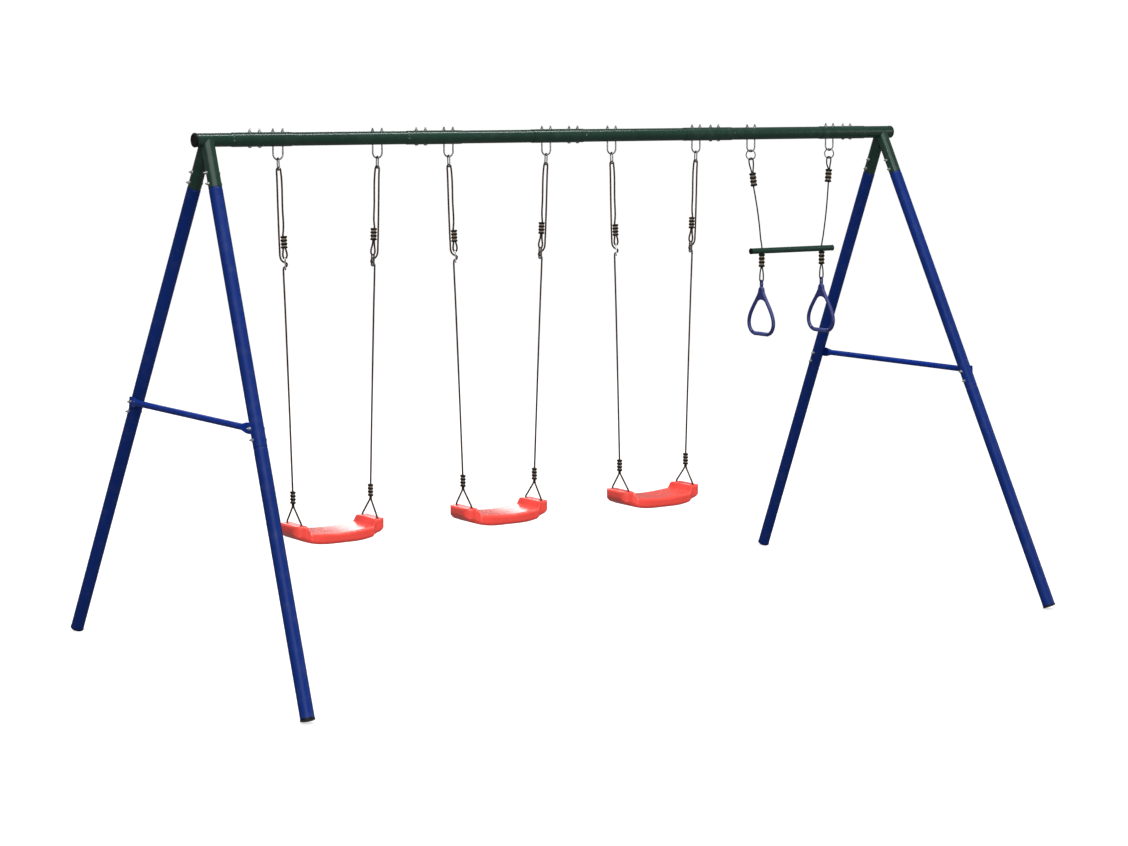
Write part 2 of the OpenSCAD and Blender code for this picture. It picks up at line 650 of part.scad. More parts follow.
// Points are [depth, across]
module ring_web() {
    half = [for (i = [0:10]) let (d = side_top + i * (web_end - side_top) / 10) [d, side_y(d)]];
    polygon(concat(half,
        [for (a = [75:-15:-75]) [web_low + arch_r[0] * (1 - cos(a)), arch_r[1] * sin(a)]],
        [for (i = [len(half) - 1:-1:1]) [half[i][0], -half[i][1]]]));
    circle(r = eyelet_r);
    translate([0, -eyelet_r]) square([side_top + 16, 2 * eyelet_r]);
}

module gym_ring(s)
    color(ring_blue) translate([bar_hole(s), 0, ring_pivot_z]) difference() {
        union() {
            closed_sweep([for (p = concat(ring_right, ring_left)) [0, p[0], -p[1]]], ring_tube_r, [1, 0, 0]);
            translate([0, 0, -grip_d]) rotate([90, 0, 0])
                cylinder(r = grip_r, h = 2 * grip_half, center = true);
            rotate([0, 90, 0]) linear_extrude(web_t, center = true) ring_web();
        }
        rotate([0, 90, 0]) linear_extrude(30, center = true) {
            for (d = [0, eyelet_slot]) translate([d, 0]) circle(r = eyelet_bore);
            translate([0, -eyelet_bore]) square([eyelet_slot, 2 * eyelet_bore]);
        }
    }

// ---------- output ----------

bar_end(-1);  // crossbar_end_left
bar_end(1);  // crossbar_end_right
bar_tube(seam_x[0] - insert_len, seam_x[1], false, true);  // crossbar_tube_1
bar_tube(seam_x[1] - insert_len, seam_x[2] + insert_len);  // crossbar_tube_2
bar_tube(seam_x[2], seam_x[3] + insert_len, true, false);  // crossbar_tube_3
bar_tube(seam_x[3], seam_x[4] + insert_len, true, false);  // crossbar_tube_4
crossbar_caps();
crossbar_bolts();
crossbar_nuts();
u_bolts();
u_bolt_nuts();
washers();
leg_upper(-1, -1);  // leg_upper_front_left
leg_upper(-1, 1);  // leg_upper_back_left
leg_upper(1, -1);  // leg_upper_front_right
leg_upper(1, 1);  // leg_upper_back_right
leg_lower(-1, -1);  // leg_lower_front_left
leg_lower(-1, 1);  // leg_lower_back_left
leg_lower(1, -1);  // leg_lower_front_right
leg_lower(1, 1);  // leg_lower_back_right
foot_caps();
leg_bolts();
leg_nuts();
brace(-1);  // brace_left
brace(1);  // brace_right
for (n = [0:2]) {
    swing = str("swing_", n + 1, "_");
    color(zinc) each_hanger(n) oblong_link();
    swing_rope(n, -1);
    swing_rope(n, 1);
    upper_clamps(n);
    swing_adjusters(n);
    lower_clamps(n);
    slings(n);
    seat(n);
}
trapeze_links();
trapeze_ropes();
trapeze_upper_clamps();
trapeze_bar();
trapeze_bar_caps();
trapeze_lower_clamps();
ring_loops();
gym_ring(-1);  // gym_ring_left
gym_ring(1);  // gym_ring_right
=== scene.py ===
import json
import math

import bmesh
import bpy
import numpy as np
from mathutils import Matrix, Vector


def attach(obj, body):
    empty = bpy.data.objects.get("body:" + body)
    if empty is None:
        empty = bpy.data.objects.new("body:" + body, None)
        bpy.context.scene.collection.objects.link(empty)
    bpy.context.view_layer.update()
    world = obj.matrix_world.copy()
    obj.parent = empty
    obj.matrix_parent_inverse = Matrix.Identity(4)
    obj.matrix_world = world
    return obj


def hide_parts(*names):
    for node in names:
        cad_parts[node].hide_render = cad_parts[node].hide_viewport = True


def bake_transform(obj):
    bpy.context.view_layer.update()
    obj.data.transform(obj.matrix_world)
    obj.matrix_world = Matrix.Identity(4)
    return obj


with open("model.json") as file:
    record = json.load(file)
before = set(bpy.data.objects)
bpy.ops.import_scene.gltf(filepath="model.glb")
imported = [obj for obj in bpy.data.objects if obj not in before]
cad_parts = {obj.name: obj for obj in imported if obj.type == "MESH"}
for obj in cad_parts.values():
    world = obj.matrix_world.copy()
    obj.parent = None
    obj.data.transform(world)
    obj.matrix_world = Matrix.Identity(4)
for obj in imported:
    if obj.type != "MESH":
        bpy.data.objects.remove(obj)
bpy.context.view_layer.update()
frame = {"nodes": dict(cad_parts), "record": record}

scene = bpy.context.scene
nodes = frame["nodes"]
body_of_node = {n: b for b, ns in frame["record"]["behaviour"]["bodies"].items() for n in ns}


# ---------- camera, floor and light ----------

def add(name, data):
    obj = bpy.data.objects.new(name, data)
    scene.collection.objects.link(obj)
    return obj


WHITE = (1.0, 1.0, 1.0, 1.0)
camera_down, camera_turn = 7.24, -34.54
camera = add("camera", bpy.data.cameras.new("camera"))
camera.data.sensor_width = 36.0
camera.data.lens = 83.87
camera.data.clip_end = 100.0
camera.location = (-5.887, -8.489, 2.105)
camera.rotation_euler = (math.radians(90 - camera_down), 0.0, math.radians(camera_turn))
scene.camera = camera

scene.view_settings.view_transform = "Standard"
scene.view_settings.look = "None"

world = bpy.data.worlds.new("studio")
world.use_nodes = True
background = world.node_tree.nodes["Background"]
background.inputs["Color"].default_value = WHITE
background.inputs["Strength"].default_value = 0.22
scene.world = world


def area_light(name, place, target, width, height, energy):
    data = bpy.data.lights.new(name, "AREA")
    data.shape = "RECTANGLE"
    data.size, data.size_y = width, height
    data.energy = energy
    light = add(name, data)
    light.location = place
    light.rotation_euler = (Vector(target) - Vector(place)).to_track_quat("-Z", "Y").to_euler()
    light.visible_camera = False


area_light("key", (-5.0, -6.5, 5.5), (0.0, 0.0, 1.0), 2.5, 2.5, 215.0)
area_light("low", (-2.5, -7.5, 0.7), (0.0, 0.5, 0.9), 5.0, 1.0, 210.0)
area_light("back", (3.0, 8.0, 4.0), (0.0, 0.0, 1.0), 4.0, 3.0, 130.0)
area_light("fill", (7.0, -4.0, 3.0), (0.0, 0.0, 1.0), 2.0, 3.0, 90.0)
area_light("top", (0.0, -0.7, 6.5), (0.0, 0.0, 1.5), 7.0, 0.5, 260.0)
sky = add("sky", bpy.data.lights.new("sky", "SUN"))
sky.data.energy = 2.3
sky.data.angle = math.radians(70)
sky.rotation_euler = Vector((3.0, 4.0, -9.0)).to_track_quat("-Z", "Y").to_euler()


# ---------- material nodes ----------

def linear(red, green, blue):
    """Screen colour, 0 to 255, as the linear colour that a shader takes."""
    parts = [c / 255 for c in (red, green, blue)]
    return [c / 12.92 if c <= 0.04045 else ((c + 0.055) / 1.055) ** 2.4 for c in parts] + [1.0]


def shade(colour, factor):
    """The colour made lighter or darker."""
    return [min(1.0, c * factor) for c in colour[:3]] + [1.0]


def principled(material):
    return material.node_tree.nodes["Principled BSDF"]


class Surface:
    """A Principled material whose nodes are added one by one."""

    def __init__(self, name, metallic=0.0, coat=0.0, sheen=0.0, specular=0.5):
        self.material = bpy.data.materials.new(name)
        self.material.use_nodes = True
        self.tree = self.material.node_tree
        self.shader = principled(self.material)
        self.shader.inputs["Metallic"].default_value = metallic
        self.shader.inputs["Specular IOR Level"].default_value = specular
        self.shader.inputs["Coat Weight"].default_value = coat
        self.shader.inputs["Coat Roughness"].default_value = 0.12
        self.shader.inputs["Sheen Weight"].default_value = sheen
        self.heights = []

    def node(self, kind, settings=None, **inputs):
        made = self.tree.nodes.new(kind)
        for key, value in (settings or {}).items():
            setattr(made, key, value)
        for key, value in inputs.items():
            self.feed(made.inputs[key.replace("_", " ")], value)
        return made

    def feed(self, socket, value):
        if isinstance(value, bpy.types.NodeSocket):
            self.tree.links.new(value, socket)
        else:
            socket.default_value = value

    def place(self, stretch=(1.0, 1.0, 1.0), source="Object"):
        coordinates = self.node("ShaderNodeTexCoord").outputs[source]
        return self.node("ShaderNodeMapping", Vector=coordinates, Scale=stretch).outputs["Vector"]

    def noise(self, scale, detail=3.0, stretch=(1.0, 1.0, 1.0), source="Object"):
        return self.node("ShaderNodeTexNoise", Vector=self.place(stretch, source), Scale=scale,
                         Detail=detail).outputs["Fac"]

    def span(self, value, low, high, to_low=0.0, to_high=1.0):
        made = self.node("ShaderNodeMapRange")
        for key, number in (("From Min", low), ("From Max", high), ("To Min", to_low), ("To Max", to_high)):
            made.inputs[key].default_value = number
        self.feed(made.inputs["Value"], value)
        return made.outputs["Result"]

    def math(self, operation, first, second=0.0):
        made = self.node("ShaderNodeMath", {"operation": operation})
        self.feed(made.inputs[0], first)
        self.feed(made.inputs[1], second)
        return made.outputs["Value"]

    def mix(self, factor, first, second):
        made = self.node("ShaderNodeMix", {"data_type": "RGBA"})
        self.feed(made.inputs["Factor"], factor)
        self.feed(made.inputs[6], first)
        self.feed(made.inputs[7], second)
        return made.outputs[2]

    def bump(self, height, depth, strength=1.0):
        made = self.node("ShaderNodeBump", Height=height, Distance=depth, Strength=strength)
        if self.heights:
            self.tree.links.new(self.heights[-1], made.inputs["Normal"])
        self.heights.append(made.outputs["Normal"])

    def done(self, colour, roughness):
        self.feed(self.shader.inputs["Base Color"], colour)
        self.feed(self.shader.inputs["Roughness"], roughness)
        if self.heights:
            self.tree.links.new(self.heights[-1], self.shader.inputs["Normal"])
        return self.material


def powder_coat(name, colour, roughness=0.32, specular=0.3):
    """Baked paint on steel: faint orange peel, slow tone drift, dust, a few scuffs and small chips."""
    s = Surface(name, specular=specular)
    drift = s.span(s.noise(2.2), 0.3, 0.7)
    dust = s.span(s.noise(26.0, 5.0), 0.5, 0.75)
    scuff = s.span(s.noise(38.0, 6.0, (1.0, 1.0, 0.3)), 0.7, 0.76)
    chip = s.span(s.noise(95.0, 4.0), 0.79, 0.80)
    base = s.mix(drift, shade(colour, 0.88), shade(colour, 1.12))
    base = s.mix(s.math("MULTIPLY", dust, 0.05), base, linear(120, 122, 118))
    base = s.mix(s.math("MULTIPLY", scuff, 0.25), base, shade(colour, 1.5))
    base = s.mix(s.math("MULTIPLY", chip, 0.6), base, linear(120, 120, 118))
    rough = s.math("ADD", s.span(s.noise(14.0), 0.3, 0.7, roughness - 0.03, roughness + 0.04),
                   s.math("MULTIPLY", scuff, 0.08))
    s.bump(s.noise(260.0, 2.0), 0.00004, 0.15)
    s.bump(s.math("SUBTRACT", 1.0, chip), 0.0001, 0.3)
    return s.done(base, rough)


def zinc_plate(name, tone=1.0):
    """Bright zinc on steel: cloudy tone, fine grain, duller patches."""
    s = Surface(name, metallic=1.0)
    cloud = s.span(s.noise(60.0, 5.0), 0.35, 0.65)
    grime = s.span(s.noise(220.0, 4.0), 0.55, 0.7)
    base = s.mix(cloud, shade(linear(176, 178, 180), tone), shade(linear(205, 207, 208), tone))
    base = s.mix(s.math("MULTIPLY", grime, 0.25), base, shade(linear(125, 121, 114), tone))
    s.bump(s.noise(900.0, 3.0), 0.0001, 0.5)
    return s.done(base, s.span(cloud, 0.0, 1.0, 0.28, 0.45))


def moulded(name, colour, roughness=0.25, coat=0.0, grain=0.00015, drift=0.12, specular=0.4):
    """Moulded plastic: slow colour drift, faint pores and fine scratches in the gloss."""
    s = Surface(name, coat=coat, specular=specular)
    slow = s.span(s.noise(9.0, 3.0), 0.3, 0.7)
    scratch = s.span(s.noise(130.0, 7.0, (0.15, 1.0, 1.0)), 0.62, 0.68)
    base = s.mix(slow, shade(colour, 1.0 - drift), shade(colour, 1.0 + drift))
    base = s.mix(s.math("MULTIPLY", scratch, 0.12), base, shade(colour, 1.7))
    rough = s.math("ADD", s.span(s.noise(40.0), 0.3, 0.7, roughness - 0.05, roughness + 0.07),
                   s.math("MULTIPLY", scratch, 0.12))
    s.bump(s.noise(500.0, 3.0), grain, 0.4)
    return s.done(base, rough)


def twisted_fibre(name, dark, light, fleck):
    """Laid rope: fibres along each strand, some of them dark."""
    s = Surface(name, sheen=0.04, specular=0.2)
    fibres = s.noise(1.0, 4.0, (9.0, 260.0, 1.0), "UV")
    patches = s.span(s.noise(1.0, 2.0, (2.0, 60.0, 1.0), "UV"), 0.35, 0.65)
    strands = s.span(s.noise(1.0, 5.0, (22.0, 420.0, 1.0), "UV"), 0.56, 0.64)
    base = s.mix(s.span(fibres, 0.3, 0.7), dark, light)
    base = s.mix(s.math("MULTIPLY", patches, 0.3), base, light)
    base = s.mix(s.math("MULTIPLY", strands, 0.75), base, fleck)
    s.bump(fibres, 0.0006, 0.8)
    return s.done(base, 0.85)


def braid(name, dark, light, across=4.0, along=140.0):
    """Braided cord: two sets of yarns crossing over and under, with painted shade darkening the gaps
    between them.
    """
    s = Surface(name, sheen=0.04, specular=0.2)
    uv = s.node("ShaderNodeSeparateXYZ", Vector=s.place(source="UV"))
    round_turn = s.math("MULTIPLY", uv.outputs["X"], across * 2 * math.pi)
    run = s.math("MULTIPLY", uv.outputs["Y"], along * 2 * math.pi)
    left = s.math("SINE", s.math("ADD", round_turn, run))
    right = s.math("SINE", s.math("SUBTRACT", round_turn, run))
    yarn = s.span(s.math("MAXIMUM", left, right), -0.2, 1.0)
    # the low gaps between the yarns take the dark colour: painted shade in the crevices of the weave
    base = s.mix(yarn, dark, light)
    base = s.mix(s.span(s.noise(700.0, 4.0), 0.58, 0.66), base, shade(light, 1.25))
    s.bump(yarn, 0.0005, 0.9)
    return s.done(base, 0.8)


GREEN = powder_coat("green_powder_coat", linear(22, 47, 38), 0.2, 0.35)
BLUE = powder_coat("blue_powder_coat", linear(12, 36, 98), 0.36, 0.08)
# the braces share the legs' blue paint; this lighter copy is painted light, standing in for the stronger
# light the braces catch
LIT_BRACE_BLUE = powder_coat("brace_blue_painted_lighter", linear(9, 42, 124), 0.36, 0.08)
ZINC = zinc_plate("zinc_plate", 0.42)
BRIGHT_ZINC = zinc_plate("bright_zinc_plate", 0.95)
GREY_METAL = zinc_plate("dull_adjuster", 0.55)
BLACK = moulded("black_plastic", linear(8, 8, 9), 0.45, grain=0.0003, specular=0.15)
CORE = moulded("clamp_core", linear(128, 112, 94), 0.5, grain=0.0003, specular=0.15)
RED = moulded("red_seat", linear(232, 72, 62), 0.2, coat=0.25, specular=0.5)
RING = moulded("ring_plastic", linear(35, 43, 98), 0.28)
GRIP = moulded("ring_grip", linear(54, 64, 122), 0.4, grain=0.0004)
ROPE = twisted_fibre("brown_rope", linear(20, 11, 6), linear(74, 46, 29), linear(7, 4, 3))
# the cord's first colour is painted shade for the gaps between yarns, the second is the yarns' own grey
CORD = braid("grey_cord", linear(10, 10, 9), linear(34, 33, 30))
FLOOR = moulded("floor_paint", linear(188, 188, 188), 0.8, grain=0.0002, drift=0.004, specular=0.1)
principled(FLOOR).inputs["Emission Color"].default_value = WHITE
principled(FLOOR).inputs["Emission Strength"].default_value = 0.6

finish_of_slot = {"crossbar": GREEN, "legs": BLUE, "braces": BLUE, "trapeze_bar": GREEN, "caps": BLACK,
                  "clamp": BLACK, "zinc_hardware": ZINC, "adjuster": GREY_METAL, "swing_rope": ROPE,
                  "trapeze_cord": CORD, "seat": RED, "gym_rings": RING}
slot_of_node = {p["node"]: p["material_slot"] for p in frame["record"]["subparts"]}
bright_nodes = ("leg_bolts", "leg_nuts", "crossbar_bolts", "crossbar_nuts", "u_bolt_nuts", "washers")
for name, obj in nodes.items():
    obj.data.materials.clear()
    obj.data.materials.append(BRIGHT_ZINC if name in bright_nodes else finish_of_slot[slot_of_node[name]])

floor_mesh = bpy.data.meshes.new("floor")
floor_half = 30
floor_corners = [(sx * floor_half, sy * floor_half, 0) for sx, sy in ((-1, -1), (1, -1), (1, 1), (-1, 1))]
floor_mesh.from_pydata(floor_corners, [], [(0, 1, 2, 3)])
floor_mesh.materials.append(FLOOR)
floor = add("floor", floor_mesh)
floor.location.z = -0.0005
floor.visible_diffuse = floor.visible_glossy = False


def white_surround():
    """A pale dome round the set that is only seen, and lights nothing."""
    mesh = bpy.data.meshes.new("surround")
    build = bmesh.new()
    bmesh.ops.create_icosphere(build, subdivisions=4, radius=45.0)
    build.to_mesh(mesh)
    build.free()
    paper = bpy.data.materials.new("surround_white")
    paper.use_nodes = True
    shader = principled(paper)
    shader.inputs["Base Color"].default_value = (0.0, 0.0, 0.0, 1.0)
    shader.inputs["Emission Color"].default_value = WHITE
    shader.inputs["Emission Strength"].default_value = 1.0
    mesh.materials.append(paper)
    dome = add("surround", mesh)
    dome.visible_diffuse = dome.visible_glossy = dome.visible_transmission = dome.visible_shadow = False


white_surround()


# ---------- building pieces ----------

def new_piece(name, vertices, faces, materials, uvs=None, face_material=None):
    """A smooth mesh; uvs has one (u, v) for each vertex, faces that cross u = 1 included."""
    mesh = bpy.data.meshes.new(name)
    mesh.from_pydata([tuple(v) for v in vertices], [], faces)
    for m in materials:
        mesh.materials.append(m)
    mesh.polygons.foreach_set("use_smooth", [True] * len(mesh.polygons))
    if face_material is not None:
        mesh.polygons.foreach_set("material_index", face_material)
    if uvs is not None:
        layer = mesh.uv_layers.new(name="UVMap")
        for face in mesh.polygons:
            across = [uvs[v][0] for v in face.vertices]
            wraps = max(across) - min(across) > 0.5
            for loop, vertex in zip(face.loop_indices, face.vertices):
                u, v = uvs[vertex]
                layer.data[loop].uv = (u + 1.0 if wraps and u < 0.5 else u, v)
    mesh.update()
    return add(name, mesh)


def settle(obj, node_name):
    """obj takes the place of that CAD node, which is hidden, and rides on its body."""
    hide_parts(node_name)
    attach(obj, body_of_node[node_name])


def even_path(points, step):
    """Points at even steps along a smooth curve through the given ones."""
    p = np.array(points, float)
    h = np.linalg.norm(np.diff(p, axis=0), axis=1)
    slope = np.diff(p, axis=0) / h[:, None]
    tangent = np.vstack([slope[:1], (slope[:-1] * h[1:, None] + slope[1:] * h[:-1, None])
                         / (h[:-1] + h[1:])[:, None], slope[-1:]])
    fine = []
    for i in range(len(h)):
        t = np.linspace(0, 1, max(4, int(h[i] / step * 3)), endpoint=False)[:, None]
        fine.append((2 * t**3 - 3 * t**2 + 1) * p[i] + (t**3 - 2 * t**2 + t) * h[i] * tangent[i]
                    + (3 * t**2 - 2 * t**3) * p[i + 1] + (t**3 - t**2) * h[i] * tangent[i + 1])
    fine = np.vstack(fine + [p[-1:]])
    run = np.concatenate([[0], np.cumsum(np.linalg.norm(np.diff(fine, axis=0), axis=1))])
    at = np.linspace(0, run[-1], max(2, int(run[-1] / step)) + 1)
    return np.stack([np.interp(at, run, fine[:, k]) for k in range(3)], 1), at


def frames_along(path, side):
    """A pair of directions across the path at each point, carried along without twist."""
    t = np.gradient(path, axis=0)
    t /= np.linalg.norm(t, axis=1)[:, None]
    n = np.zeros_like(path)
    last = np.array(side, float)
    for i in range(len(path)):
        last = last - (last @ t[i]) * t[i]
        last /= np.linalg.norm(last)
        n[i] = last
    return n, np.cross(t, n)


def tube(centres, n, b, radius, sides, run):
    """Vertices, faces and (u, v) of a round tube with closed ends."""
    angle = 2 * math.pi * np.arange(sides) / sides
    ring = np.cos(angle)[None, :, None] * n[:, None] + np.sin(angle)[None, :, None] * b[:, None]
    radius = np.broadcast_to(np.asarray(radius, float), (len(centres),))
    vertices = (centres[:, None] + radius[:, None, None] * ring).reshape(-1, 3)
    uvs = [(k / sides, v) for v in run for k in range(sides)]
    faces = [(i * sides + k, i * sides + (k + 1) % sides, (i + 1) * sides + (k + 1) % sides,
              (i + 1) * sides + k) for i in range(len(centres) - 1) for k in range(sides)]
    faces.append(tuple(range(sides))[::-1])
    faces.append(tuple((len(centres) - 1) * sides + k for k in range(sides)))
    return vertices, faces, uvs


def join_parts(parts):
    """One list of vertices, faces and uvs from several."""
    vertices, faces, uvs = [], [], []
    for v, f, t in parts:
        start = len(vertices)
        vertices.extend(map(tuple, v))
        faces.extend(tuple(start + i for i in face) for face in f)
        uvs.extend(t)
    return vertices, faces, uvs


def laid_rope(points, diameter, side, pitch=0.026):
    """Three strands twisted round a smooth path."""
    path, run = even_path(points, 0.0035)
    n, b = frames_along(path, side)
    strand = diameter * 0.262
    offset = diameter / 2 - strand
    parts = []
    for k in range(3):
        a = 2 * math.pi * (run / pitch + k / 3)
        way = np.cos(a)[:, None] * n + np.sin(a)[:, None] * b
        across = -np.sin(a)[:, None] * n + np.cos(a)[:, None] * b
        parts.append(tube(path + offset * way, way, across, strand, 8, run))
    return join_parts(parts)


def round_cord(points, diameter, side, step=0.004):
    path, run = even_path(points, step)
    n, b = frames_along(path, side)
    return tube(path, n, b, diameter / 2, 12, run)


def clamp_rings(height, wide, deep, ribs=4, arc=9, count=40):
    """A gripping sleeve of rounded oval ribs on a thinner core: vertices, faces, and 1 for core faces."""
    rib = height * 0.17
    closed, core, step = -deep * 0.3, -0.0029, 0.0002
    gap = (height - ribs * rib) / (ribs - 1)
    levels = [(-height / 2, closed, 0)]
    for i in range(ribs):
        low = -height / 2 + i * (rib + gap)
        bulge = [(low + rib / 2 - rib / 2 * math.cos(a), -rib * 0.42 * (1 - math.sin(a)))
                 for a in np.linspace(0.12, math.pi - 0.12, arc)]
        levels += [(z, grow, 0) for z, grow in bulge]
        if i < ribs - 1:
            levels += [(low + rib + step, core, 1), (low + rib + gap - step, core, 0)]
    levels.append((height / 2, closed, 0))
    half = (wide - deep) / 2
    outline = [(math.copysign(half, math.cos(a)), a)
               for a in (np.arange(count) + 0.5) * 2 * math.pi / count]
    vertices = [(cx + (deep / 2 + grow) * math.cos(a), (deep / 2 + grow) * math.sin(a), z)
                for z, grow, _ in levels for cx, a in outline]
    faces, kinds = [], []
    for i in range(len(levels) - 1):
        for k in range(count):
            faces.append((i * count + k, i * count + (k + 1) % count,
                          (i + 1) * count + (k + 1) % count, (i + 1) * count + k))
            kinds.append(levels[i][2])
    faces += [tuple(range(count))[::-1], tuple((len(levels) - 1) * count + k for k in range(count))]
    return vertices, faces, kinds + [0, 0]


def clamps(name, node_name, places, height, wide, deep):
    """One piece from clamps at several places, each a 4x4 matrix."""
    vertices, faces, kinds = [], [], []
    for place in places:
        v, f, k = clamp_rings(height, wide, deep)
        start = len(vertices)
        vertices += [tuple(place @ Vector(p)) for p in v]
        faces += [tuple(start + i for i in face) for face in f]
        kinds += k
    settle(new_piece(name, vertices, faces, [BLACK, CORE], face_material=kinds), node_name)


# ---------- swings ----------

HALF_TURN = np.radians(range(0, 181, 15))
ROPE_D = 0.008
CORD_D = 0.006
SMALL_CLAMP = (0.046, 0.026, 0.018)
PIVOT_Z = 1.851
HANGERS = [(-1.305, -0.887), (-0.575, -0.128), (0.184, 0.603)]
CLAMP_HALF = 0.166
LOW_CLAMP_Z = 0.605
STRAND = 0.008
LINK_DROP = 0.038
CLAMP_U = 0.0095
PINCH = 0.0041
EYE_START = 0.322
TURN_U, TURN_DOWN, TURN_R = 0.011, 0.3835, 0.0075
UPPER_CLAMP = {-1: 0.301, 1: 0.283}
EYE = [(0.017, 0.333), (0.0194, 0.343), (0.0196, 0.350), (0.017, 0.3575), (0.013, 0.361), (0.011, 0.3615),
       (0.009, 0.361), (0.005, 0.3575), (0.0024, 0.350), (0.0026, 0.343), (0.004, 0.333)]
OUTER = [(-0.008, 0.060), (-0.0094, 0.180), (-0.0098, 0.335), (-0.0096, 0.350), (-0.0075, 0.360),
         (-0.0025, 0.368), (0.0045, 0.3735)]
MAIN = [(0.007, 0.3918), (0.0038, 0.395), (0.0024, 0.402), (0.0022, 0.415), (0.0025, 0.520),
        (0.0022, 0.760), (0.0012, 1.030)]


def hanger(n, side):
    """A rope's pivot, the directions across it to the seat's middle and down its line, and its length."""
    left, right = HANGERS[n]
    middle, half = (left + right) / 2, (right - left) / 2
    lean = math.atan((half - CLAMP_HALF) / (PIVOT_Z - LOW_CLAMP_Z))
    top = Vector((middle + side * half, 0, PIVOT_Z))
    inward = Vector((-side * math.cos(lean), 0, math.sin(lean)))
    down = Vector((-side * math.sin(lean), 0, -math.cos(lean)))
    length = math.hypot(half - CLAMP_HALF, PIVOT_Z - LOW_CLAMP_Z)
    return top, inward, down, length


def rope_route(n, side):
    top, inward, down, length = hanger(n, side)
    c = UPPER_CLAMP[side]
    tail = [(CLAMP_U + PINCH, c - 0.012), (CLAMP_U + PINCH, EYE_START)]
    rise = [(CLAMP_U - PINCH, EYE_START), (CLAMP_U - PINCH, c - 0.016),
            (CLAMP_U, c - 0.050), (CLAMP_U, 0.180)]
    over = [(STRAND * math.cos(a), LINK_DROP - STRAND * math.sin(a)) for a in HALF_TURN]
    turn = [(TURN_U + TURN_R * math.cos(a), TURN_DOWN - TURN_R * math.sin(a))
            for a in np.radians(range(90, -91, -30))]
    route = tail + EYE + rise + over + OUTER + turn + MAIN + [(0.0, length)]
    return [top + u * inward + d * down for u, d in route]


def build_swing(n):
    name = f"swing_{n + 1}"
    for side, word in ((-1, "left"), (1, "right")):
        v, f, t = laid_rope(rope_route(n, side), ROPE_D, (0, 1, 0))
        settle(new_piece(f"{name}_twisted_rope_{word}", v, f, [ROPE], t), f"{name}_rope_{word}")
    upper, lower = [], []
    for side in (-1, 1):
        top, inward, down, _ = hanger(n, side)
        middle = top + CLAMP_U * inward + UPPER_CLAMP[side] * down
        across = Matrix((inward, inward.cross(down), -down)).transposed().to_4x4()
        upper.append(Matrix.Translation(middle) @ across)
        foot = Vector((sum(HANGERS[n]) / 2 + side * CLAMP_HALF, 0, LOW_CLAMP_Z))
        lower.append(Matrix.Translation(foot) @ Matrix.Rotation(math.pi / 2, 4, "Z"))
    clamps(f"{name}_ribbed_upper_clamps", f"{name}_upper_clamps", upper, *SMALL_CLAMP)
    clamps(f"{name}_ribbed_lower_clamps", f"{name}_lower_clamps", lower, *SMALL_CLAMP)


HOLE_X = 0.1615
SEAT_TOP = 0.506
SEAT_MID = 0.470
SEAT_LOW = 0.430
SEAT_HALF = 0.193
SEAT_DEEP = 0.085
SEAT_BOW = 0.003
SEAT_FLAT = 0.04
SEAT_LIFT = 0.032
SIT_RISE = 0.010
EAR_HALF = 0.069
EAR_IN = 0.134
EAR_OUT = 0.142
DRAW_IN = (0.128, 0.152)
EDGE_R = (0.014, 0.020)
TOP_EDGE_R = 0.011
SLING_FALL = 0.577
# Half of a sling: (front to back, height), from inside the clamp to under the seat
SLING = [(0.0036, 0.590), (0.004, 0.577), (0.0048, 0.572), (0.008, 0.566), (0.0124, 0.5608),
         (0.030, 0.540), (0.0476, 0.5192), (0.052, 0.514), (0.055, 0.5075), (0.056, 0.4995),
         (0.056, 0.470), (0.0549, 0.466), (0.052, 0.4631), (0.048, 0.462)]


def sling_route(n, side):
    """From the clamp down one side of the seat's end, under it and up to the clamp again."""
    x = sum(HANGERS[n]) / 2 + side * CLAMP_HALF
    inward = -side * (CLAMP_HALF - HOLE_X)
    half = [(x + inward * min(1.0, max(0.0, (SLING_FALL - z) / (SLING_FALL - SEAT_TOP))), y, z)
            for y, z in SLING]
    return [(px, -y, z) for px, y, z in half] + half[::-1]


def build_slings(n):
    v, f, t = join_parts([laid_rope(sling_route(n, side), ROPE_D, (1, 0, 0)) for side in (-1, 1)])
    piece = new_piece(f"swing_{n + 1}_twisted_slings", v, f, [ROPE], t)
    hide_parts(f"swing_{n + 1}_slings")
    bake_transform(piece)


def softened(node_name, voxel, rounds, finishes):
    """A copy of a node's mesh with every edge rounded, as a moulding has them."""
    source = add("source", nodes[node_name].data.copy())
    remesh = source.modifiers.new("even", "REMESH")
    remesh.mode = "VOXEL"
    remesh.voxel_size = voxel
    smooth = source.modifiers.new("round", "SMOOTH")
    smooth.factor = 0.5
    smooth.iterations = rounds
    mesh = bpy.data.meshes.new_from_object(source.evaluated_get(bpy.context.evaluated_depsgraph_get()))
    bpy.data.objects.remove(source)
    mesh.polygons.foreach_set("use_smooth", [True] * len(mesh.polygons))
    mesh.materials.clear()
    for finish in finishes:
        mesh.materials.append(finish)
    return mesh


def build_braces():
    """Tubes pressed flat at both ends, without hard edges where the flats begin."""
    for side in ("left", "right"):
        # the braces take the lighter copy of the leg blue: painted light
        mesh = softened(f"brace_{side}", 0.0016, 3, [LIT_BRACE_BLUE])
        settle(add(f"pressed_brace_{side}", mesh), f"brace_{side}")


def pulled_in_each(points, outer, radius):
    """Rounds a box: points past its corner radius move onto it. outer holds each point's limits."""
    over = np.maximum(points - (outer - radius[:, None]), 0.0)
    reach = np.linalg.norm(over, axis=1)
    shrink = np.where(reach > radius, radius / np.maximum(reach, 1e-9), 1.0)
    return points - over * (1 - shrink)[:, None]


